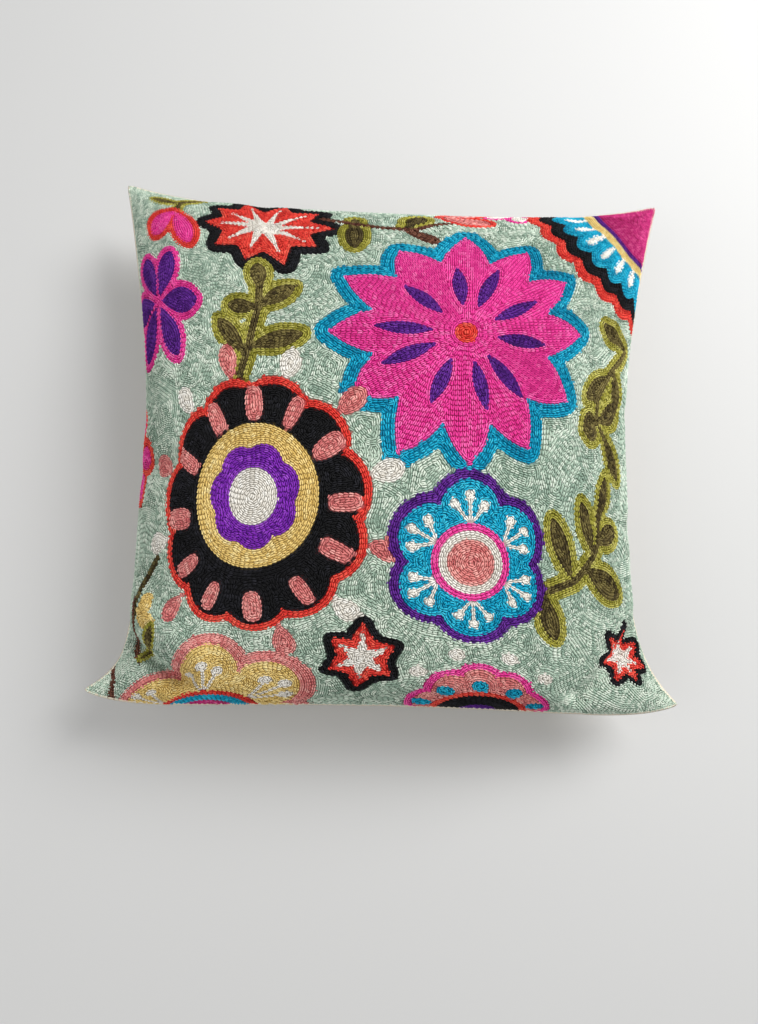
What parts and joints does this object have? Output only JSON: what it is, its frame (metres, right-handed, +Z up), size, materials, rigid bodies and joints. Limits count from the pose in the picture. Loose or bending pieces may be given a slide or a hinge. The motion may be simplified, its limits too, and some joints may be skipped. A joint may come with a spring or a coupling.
{
  "type": "cushion cover",
  "caption": "Filled square cushion cover with a worked wool front, drawn-in sides and pinched corners, lying face up on its plain back",
  "frame": {"origin": "under the middle of the box that holds the cushion, on the surface it lies on", "axes": "+Z up out of the worked face, +Y towards the upper side of the design, +X to its right"},
  "size_m": [0.4434, 0.4188, 0.1376],
  "materials": {
    "sage_wool": "wool chain stitch worked all over in rows, soft and matt, with coloured flowers",
    "hot_pink_wool": "wool chain stitch, matt",
    "magenta_wool": "wool chain stitch, matt",
    "turquoise_wool": "wool chain stitch, matt",
    "purple_wool": "wool chain stitch, matt",
    "coral_wool": "wool chain stitch, matt",
    "black_wool": "wool chain stitch, matt",
    "dusty_pink_wool": "wool chain stitch, matt",
    "yellow_wool": "wool chain stitch, matt",
    "white_wool": "wool chain stitch, matt",
    "dark_olive_wool": "wool chain stitch, matt",
    "lime_olive_wool": "wool chain stitch, matt",
    "brown_wool": "wool chain stitch, matt",
    "cream_cotton": "plain woven cotton, matt"
  },
  "bodies": {
    "root": {"cushion": "sage_wool"}
  },
  "joints": []
}
